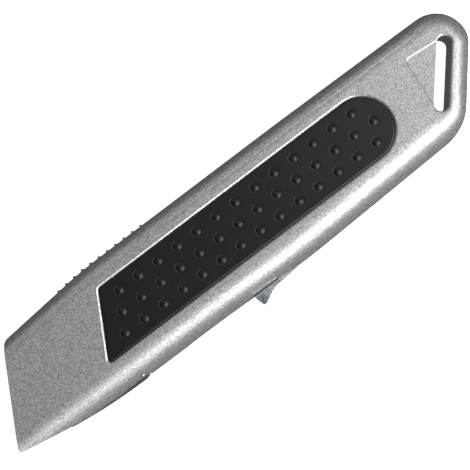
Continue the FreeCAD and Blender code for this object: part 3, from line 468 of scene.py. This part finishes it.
def screw_tree():
    tree, given = new_tree("socket screws", [
        ("Places", "NodeSocketObject", None), ("Sides", "NodeSocketInt", 40),
        ("Key radius", "NodeSocketFloat", None), ("Key depth", "NodeSocketFloat", None),
        ("Thread radius", "NodeSocketFloat", None), ("Thread turns", "NodeSocketFloat", None),
        ("Thread start", "NodeSocketFloat", None), ("Thread length", "NodeSocketFloat", None)])
    # the key's hexagon is centred on the head's outer face, so it is twice as deep
    deep = node(tree, "ShaderNodeMath", {0: given["Key depth"], 1: 2.0}, operation="MULTIPLY")
    key = node(tree, "GeometryNodeMeshCylinder", {
        "Vertices": 6, "Radius": given["Key radius"], "Depth": deep.outputs[0]})
    socketed = node(tree, "GeometryNodeMeshBoolean", {
        "Mesh 1": turned_skin(tree, given), "Mesh 2": key.outputs[0]}, operation="DIFFERENCE",
        solver="EXACT")
    helix = node(tree, "GeometryNodeCurveSpiral", {
        "Resolution": 24, "Rotations": given["Thread turns"],
        "Start Radius": given["Thread radius"], "End Radius": given["Thread radius"],
        "Height": given["Thread length"]})
    crest = node(tree, "GeometryNodeCurvePrimitiveCircle", {
        "Resolution": 4, "Radius": THREAD_CREST * MM})
    ridge = node(tree, "GeometryNodeCurveToMesh", {
        "Curve": helix.outputs[0], "Profile Curve": crest.outputs[0], "Fill Caps": True})
    start = node(tree, "ShaderNodeCombineXYZ", {"Z": given["Thread start"]})
    placed = node(tree, "GeometryNodeTransform", {
        "Geometry": ridge.outputs[0], "Translation": start.outputs[0]})
    whole = node(tree, "GeometryNodeJoinGeometry")
    tree.links.new(placed.outputs[0], whole.inputs[0])
    tree.links.new(socketed.outputs[0], whole.inputs[0])
    close_tree(tree, given, set_at_places(tree, given, whole.outputs[0]))
    return tree


def housing_screws():
    boxes = solids_of("housing_screws")
    low, high = boxes[0]
    head = (high.x - low.x) / 2
    length = high.z - low.z
    head_round = 0.3 * MM
    seat = 1.2 * MM
    shank = 1.0 * MM
    core = shank - 0.16 * MM
    plain_end = seat + 1.2 * MM
    thread_start = seat + 1.4 * MM
    thread_length = length - 0.5 * MM - thread_start
    pitch = 0.4 * MM
    point = 0.3 * MM
    sunk = 0.005 * MM    # the thread's line lies just inside the core's skin
    steps = [(head - head_round, 0.0), (head - 0.1 * MM, 0.08 * MM), (head, head_round),
             (head, seat), (shank, seat), (shank, plain_end), (core, thread_start),
             (core, length - point), (core - point, length)]
    places = mesh_object("screw_places", feet_of(boxes))
    made = grow("housing_screws_socketed", stations("screw_line", steps), screw_tree(), {
        "Places": places, "Finish": SCREW, "Key radius": 0.75 * MM, "Key depth": 0.7 * MM,
        "Thread radius": core - sunk, "Thread turns": thread_length / pitch,
        "Thread start": thread_start, "Thread length": thread_length})
    bpy.data.objects.remove(places)
    settle(made, "housing", "screw_steel", "housing_screws")


housing_screws()


# Return spring: close-wound coil with a loop at each end

def spring_tree():
    tree, given = new_tree("wound spring", [
        ("Coil radius", "NodeSocketFloat", None), ("Turns", "NodeSocketFloat", None),
        ("Coil length", "NodeSocketFloat", None), ("Loop radius", "NodeSocketFloat", None),
        ("Wire radius", "NodeSocketFloat", None), ("Lead", "NodeSocketFloat", None),
        ("Points a turn", "NodeSocketInt", 28), ("Wire sides", "NodeSocketInt", 10)])
    coil = node(tree, "GeometryNodeCurveSpiral", {
        "Resolution": given["Points a turn"], "Rotations": given["Turns"],
        "Start Radius": given["Coil radius"], "End Radius": given["Coil radius"],
        "Height": given["Coil length"]})
    # the spiral stands along Z; it is laid along X with its ends at the top
    laid = node(tree, "GeometryNodeTransform", {
        "Geometry": coil.outputs[0], "Rotation": Euler((radians(90), 0, radians(90)))})
    start = node(tree, "ShaderNodeCombineXYZ", {"X": given["Lead"]})
    moved = node(tree, "GeometryNodeTransform", {
        "Geometry": laid.outputs[0], "Translation": start.outputs[0]})
    loop = node(tree, "GeometryNodeCurvePrimitiveCircle", {
        "Resolution": 48, "Radius": given["Loop radius"]})
    two_leads = node(tree, "ShaderNodeMath", {0: given["Lead"], 1: 2.0, 2: given["Coil length"]},
                     operation="MULTIPLY_ADD")
    far = node(tree, "ShaderNodeCombineXYZ", {"X": two_leads.outputs[0]})
    rear_loop = node(tree, "GeometryNodeTransform", {
        "Geometry": loop.outputs[0], "Translation": far.outputs[0]})
    wires = node(tree, "GeometryNodeJoinGeometry")
    for part in (moved, loop, rear_loop):
        tree.links.new(part.outputs[0], wires.inputs[0])
    section = node(tree, "GeometryNodeCurvePrimitiveCircle", {
        "Resolution": given["Wire sides"], "Radius": given["Wire radius"]})
    skin = node(tree, "GeometryNodeCurveToMesh", {
        "Curve": wires.outputs[0], "Profile Curve": section.outputs[0], "Fill Caps": True})
    close_tree(tree, given, skin.outputs[0])
    return tree


def return_spring():
    low, high = (Vector(corner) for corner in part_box("return_spring"))
    wire = 0.275 * MM    # radius
    pitch = 0.8 * MM
    coil = (high.z - low.z) / 2 - wire
    loop = (high.y - low.y) / 2 - wire
    lead = sqrt(loop ** 2 - coil ** 2)
    front = low.x + wire + loop
    rear = high.x - wire - loop
    length = rear - front - 2 * lead
    base = mesh_object("spring_base", [(0, 0, 0)])
    made = grow("return_spring_wound", base, spring_tree(), {
        "Coil radius": coil, "Wire radius": wire, "Turns": float(int(length / pitch)),
        "Coil length": length, "Loop radius": loop, "Lead": lead, "Finish": WIRE})
    middle = (low + high) / 2
    made.data.transform(Matrix.Translation((front, middle.y, middle.z)))
    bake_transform(made)
    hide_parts("return_spring")


return_spring()


# Grip inserts: plate with an opening for each stud, which a domed patch fills

STUD_REACH = 1.5     # outer edge of a stud's hollow, mm
STUD_HEIGHT = 0.35   # above the plate, mm
HOLLOW = 0.08        # below the plate, mm
STUD_SIDES = 28
# dome and hollow: share of the reach, and share of the whole rise
DOME = ((0.24, 0.94), (0.45, 0.72), (0.62, 0.34), (0.73, 0.06), (0.82, 0.07), (0.89, 0.16))
PLATE_SHARE = 0.186  # share of the whole rise at which the plate lies
LEVEL_FROM = 0.9     # share of the reach from which a patch is level with the plate
OPEN_WITHIN = 0.98   # triangles whose middles lie within this share belong to an opening
EDGE_ROUND = 0.45    # mm
EDGE_LIP = 0.1       # level strip inside the rounded edge, mm
EDGE_STEPS = 5
WELD = 0.002         # patches and plate are joined where their points are this near, mm
CDT_NEAR = 1e-7      # m


def corner_arcs(corners):
    """Centre, radius and first and last angle of the arc at each corner of a convex outline."""
    arcs = []
    count = len(corners)
    for index, (x, y, radius) in enumerate(corners):
        point = Vector((x, y))
        before = (point - Vector(corners[index - 1][:2])).normalized()
        after = (Vector(corners[(index + 1) % count][:2]) - point).normalized()
        half = before.angle(after) / 2
        reach = radius * tan(half)
        start = point - before * reach
        centre = start + Vector((-before.y, before.x)) * radius
        first = atan2(-before.x, before.y)
        arcs.append((centre, radius, first, 2 * half))
    return arcs


def ring_of(arcs, inset, height, steps=14):
    """Outline drawn in by an inset, at a height."""
    points = []
    for centre, radius, first, sweep in arcs:
        for step in range(steps + 1):
            angle = first + sweep * step / steps
            points.append((centre.x + (radius - inset) * cos(angle),
                           centre.y + (radius - inset) * sin(angle), height))
    return points


def stud_centres(name, flat):
    """Middle of each stud, from the vertices that stand above the plate."""
    groups = []
    outward = 1 if flat > centre_of(name).z else -1
    least_rise = 0.08 * MM
    one_stud = 2.5 * MM
    for vertex in NODES[name].data.vertices:
        spot = vertex.co
        if (spot.z - flat) * outward < least_rise:
            continue
        for found in groups:
            if (found[0].xy - spot.xy).length < one_stud:
                found.append(spot.copy())
                break
        else:
            groups.append([spot.copy()])
    return [((min(spot.x for spot in found) + max(spot.x for spot in found)) / 2,
             (min(spot.y for spot in found) + max(spot.y for spot in found)) / 2)
            for found in groups]


def stud_tree():
    """Studded plate: each opening is filled with a dome that rises out of a shallow hollow."""
    tree, given = new_tree("studded plate", [
        ("Places", "NodeSocketObject", None),
        ("Stud reach", "NodeSocketFloat", STUD_REACH * MM),
        ("Stud height", "NodeSocketFloat", STUD_HEIGHT * MM),
        ("Hollow", "NodeSocketFloat", HOLLOW * MM),
        ("Sides", "NodeSocketInt", STUD_SIDES), ("Rings", "NodeSocketInt", 12),
        ("Side", "NodeSocketFloat", None)])
    # a cone gives the rings; its own height is replaced by the dome's
    patch = node(tree, "GeometryNodeMeshCone", {
        "Vertices": given["Sides"], "Side Segments": given["Rings"], "Radius Top": 0.0,
        "Radius Bottom": given["Stud reach"], "Depth": 1.0 * MM}, fill_type="NONE")
    position = node(tree, "GeometryNodeInputPosition")
    parts = node(tree, "ShaderNodeSeparateXYZ", {0: position.outputs[0]})
    flat = node(tree, "ShaderNodeCombineXYZ", {"X": parts.outputs[0], "Y": parts.outputs[1]})
    reach = node(tree, "ShaderNodeVectorMath", {0: flat.outputs[0]}, operation="LENGTH")
    share = node(tree, "ShaderNodeMath", {0: reach.outputs["Value"], 1: given["Stud reach"]},
                 operation="DIVIDE")
    dome = node(tree, "ShaderNodeFloatCurve", {"Value": share.outputs[0]})
    curve = dome.mapping.curves[0]
    curve.points[0].location = (0.0, 1.0)
    curve.points[1].location = (1.0, PLATE_SHARE)
    for spot in DOME:
        curve.points.new(*spot)
    dome.mapping.update()
    whole = node(tree, "ShaderNodeMath", {0: given["Stud height"], 1: given["Hollow"]},
                 operation="ADD")
    sunk = node(tree, "ShaderNodeMath", {0: dome.outputs[0], 1: whole.outputs[0]},
                operation="MULTIPLY")
    lifted = node(tree, "ShaderNodeMath", {0: sunk.outputs[0], 1: given["Hollow"]},
                  operation="SUBTRACT")
    # the two outer rings stay level with the plate
    rim = node(tree, "ShaderNodeMath", {0: share.outputs[0], 1: LEVEL_FROM},
               operation="LESS_THAN")
    level = node(tree, "ShaderNodeMath", {0: lifted.outputs[0], 1: rim.outputs[0]},
                 operation="MULTIPLY")
    turned_side = node(tree, "ShaderNodeMath", {0: level.outputs[0], 1: given["Side"]},
                       operation="MULTIPLY")
    spot = node(tree, "ShaderNodeCombineXYZ", {
        "X": parts.outputs[0], "Y": parts.outputs[1], "Z": turned_side.outputs[0]})
    shaped = node(tree, "GeometryNodeSetPosition", {
        "Geometry": patch.outputs[0], "Position": spot.outputs[0]})
    real = node(tree, "GeometryNodeRealizeInstances", {
        "Geometry": set_at_places(tree, given, shaped.outputs[0])})
    joined = node(tree, "GeometryNodeJoinGeometry")
    tree.links.new(real.outputs[0], joined.inputs[0])
    tree.links.new(given["Geometry"], joined.inputs[0])
    welded = node(tree, "GeometryNodeMergeByDistance", {
        "Geometry": joined.outputs[0], "Distance": WELD * MM})
    close_tree(tree, given, welded.outputs[0])
    return tree


STUDDED = stud_tree()


def stud_rim(x, y):
    """Points round one stud's opening, where the domed patch has its own."""
    return [(x + STUD_REACH * MM * cos(2 * pi * step / STUD_SIDES),
             y + STUD_REACH * MM * sin(2 * pi * step / STUD_SIDES))
            for step in range(STUD_SIDES)]


def plate_mesh(name, arcs, studs, flat, back):
    """Plate with a rounded upper edge and an opening at each stud."""
    up = 1 if flat > back else -1
    rings = [ring_of(arcs, 0.0, back)]
    for step in range(EDGE_STEPS + 1):
        angle = pi / 2 * step / EDGE_STEPS
        rings.append(ring_of(arcs, EDGE_ROUND * MM * (1 - cos(angle)),
                             flat - up * EDGE_ROUND * MM * (1 - sin(angle))))
    rings.append(ring_of(arcs, (EDGE_ROUND + EDGE_LIP) * MM, flat))
    count = len(rings[0])
    points = [point for ring in rings for point in ring]
    faces = [tuple(range(count))]
    for level in range(len(rings) - 1):
        for index in range(count):
            after = (index + 1) % count
            faces.append((level * count + index, level * count + after,
                          (level + 1) * count + after, (level + 1) * count + index))
    top = [Vector(point[:2]) for point in rings[-1]]
    loops = [list(range(count))]
    for x, y in studs:
        start = len(top)
        top += [Vector(point) for point in stud_rim(x, y)]
        loops.append(list(range(start, start + STUD_SIDES)))
    edges = [(loop[index], loop[(index + 1) % len(loop)]) for loop in loops
             for index in range(len(loop))]
    inside_only = 1
    filled = delaunay_2d_cdt(top, edges, [], inside_only, CDT_NEAR)
    flat_points, triangles = filled[0], filled[2]
    start = len(points)
    points += [(point.x, point.y, flat) for point in flat_points]
    centres = [Vector(stud) for stud in studs]
    for triangle in triangles:
        middle = sum((flat_points[index] for index in triangle), Vector((0, 0))) / len(triangle)
        if min((middle - centre).length for centre in centres) > STUD_REACH * MM * OPEN_WITHIN:
            faces.append(tuple(start + index for index in triangle))
    return mesh_object(name, points, faces=faces)


def grip_insert(name, up):
    low, high = (Vector(corner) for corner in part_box(name))
    flat = high.z - STUD_HEIGHT * MM if up > 0 else low.z + STUD_HEIGHT * MM
    back = low.z if up > 0 else high.z
    lean = 0.557         # run of the front edge for each millimetre up
    height = high.y - low.y
    rear_flat = 0.1 * MM
    top_r, low_r, rear_r = 0.9 * MM, 0.6 * MM, (height - rear_flat) / 2
    # the leaning front edge touches the box's side on its upper or lower rounding
    slant = sqrt(1 + lean ** 2)
    foot_x = low.x + low_r - low_r * (slant + lean)
    corners = [
        (foot_x, low.y, low_r), (high.x, low.y, rear_r), (high.x, high.y, rear_r),
        (foot_x + lean * height, high.y, top_r)]
    studs = stud_centres(name, flat)
    base = plate_mesh(name + "_base", corner_arcs(corners), studs, flat, back)
    places = mesh_object(name + "_places", [(x, y, flat) for x, y in studs])
    made = grow(name + "_studded", base, STUDDED, {
        "Places": places, "Finish": RUBBER, "Side": float(up)})
    bpy.data.objects.remove(places)
    work = bmesh.new()
    work.from_mesh(made.data)
    bmesh.ops.remove_doubles(work, verts=work.verts, dist=WELD * MM)
    bmesh.ops.recalc_face_normals(work, faces=work.faces)
    work.to_mesh(made.data)
    work.free()
    shade(made.data, 60)
    settle(made, "housing", "grip_rubber", name)


grip_insert("left_grip_insert", 1)
grip_insert("right_grip_insert", -1)


# Rear buffer: rubber block with soft edges and ribs on the face that the slider meets

def rear_buffer():
    low, high = (Vector(corner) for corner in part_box("rear_buffer"))
    ribs = 3
    pitch = (high.y - low.y) / ribs
    depth = 0.35 * MM
    # over one rib: share of the pitch, share of the depth
    profile = ((1.0, 1.0), (0.88, 0.25), (0.7, 0.0), (0.3, 0.0), (0.12, 0.25))
    soft_edge = 0.18 * MM
    outline = [(high.x, low.y), (high.x, high.y)]
    for rib in reversed(range(ribs)):
        foot = low.y + rib * pitch
        for share, back in profile:
            outline.append((low.x + back * depth, foot + share * pitch))
    outline.append((low.x + depth, low.y))
    count = len(outline)
    points = [(x, y, z) for z in (low.z, high.z) for x, y in outline]
    faces = [tuple(range(count)), tuple(range(count, 2 * count))]
    faces += [(index, (index + 1) % count, count + (index + 1) % count, count + index)
              for index in range(count)]
    made = mesh_object("rear_buffer_ribbed", points, faces=faces)
    made.data.materials.append(BUFFER)
    work = bmesh.new()
    work.from_mesh(made.data)
    bmesh.ops.recalc_face_normals(work, faces=work.faces)
    sharp = [edge for edge in work.edges if edge.calc_face_angle(0) > radians(50)]
    bmesh.ops.bevel(work, geom=sharp, offset=soft_edge, segments=3,
                    affect="EDGES", profile=0.5)
    work.to_mesh(made.data)
    work.free()
    shade(made.data, 40)
    settle(made, "housing", "buffer_rubber", "rear_buffer")


rear_buffer()


# ---------------------------------------------------------------- studio

def floor():
    # Matt white sweep: even white paint, with a faint unevenness.
    made, tree, shader, place = new_material("white sweep, matt painted", Roughness=0.85)
    cloud = speckle(tree, place, 40.0, 0.0, 1.0)
    coloured(tree, shader, cloud, "#f7f7f7", "#fbfbfb")
    # lit from below like a light table, so that it stays white under the knife
    shader.inputs["Emission Color"].default_value = linear("#ffffff")
    shader.inputs["Emission Strength"].default_value = 1.0
    half = 3.0           # m
    sweep = mesh_object("floor", [(-half, -half, 0), (half, -half, 0), (half, half, 0),
                                  (-half, half, 0)], faces=[(0, 1, 2, 3)])
    sweep.data.materials.append(made)
    sweep.visible_glossy = False
    sweep.visible_diffuse = False
    sweep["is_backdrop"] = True


def area_light(name, place, aim, size, watts, colour):
    lamp = bpy.data.lights.new(name, "AREA")
    lamp.shape = "RECTANGLE"
    lamp.size, lamp.size_y = size
    lamp.energy = watts
    lamp.color = linear(colour)[:3]
    made = bpy.data.objects.new(name, lamp)
    made.location = place
    made.rotation_euler = (Vector(aim) - Vector(place)).to_track_quat("-Z", "Y").to_euler()
    bpy.context.scene.collection.objects.link(made)


def studio():
    scene = bpy.context.scene
    world = bpy.data.worlds.new("studio")
    world.use_nodes = True
    sky = world.node_tree.nodes["Background"]
    sky.inputs["Color"].default_value = linear("#eef0f0")
    sky.inputs["Strength"].default_value = 0.16
    scene.world = world
    scene.view_settings.view_transform = "Standard"
    # long soft box on the underside's side, nearer to the rear end
    area_light("key", place=(0.18, -0.36, 0.40), aim=(0.01, 0.0, 0.0), size=(0.55, 0.3),
               watts=3.8, colour="#fbfdff")
    # weak fill on the spine's side
    area_light("fill", place=(-0.02, 0.38, 0.34), aim=(0.0, 0.0, 0.0), size=(0.5, 0.3),
               watts=0.36, colour="#f6f3ec")
    # overhead soft box beyond the rear end, which makes the flats lighter towards it
    area_light("overhead", place=(0.26, 0.02, 0.5), aim=(0.02, 0.0, 0.0), size=(0.34, 0.36),
               watts=0.5, colour="#ffffff")


def camera():
    """Looks straight down from above the housing's middle, turned so that the knife slants."""
    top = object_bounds()[1][2]
    turn = -37.2
    lens = bpy.data.cameras.new("camera")
    lens.sensor_width = 36.0
    distance = 0.47
    view_width = 0.1154
    lens.lens = lens.sensor_width * distance / view_width
    made = bpy.data.objects.new("camera", lens)
    made.location = (-0.85 * MM, 0.92 * MM, top + distance)
    made.rotation_euler = (0, 0, radians(turn))
    bpy.context.scene.collection.objects.link(made)
    bpy.context.scene.camera = made


floor()
studio()
camera()
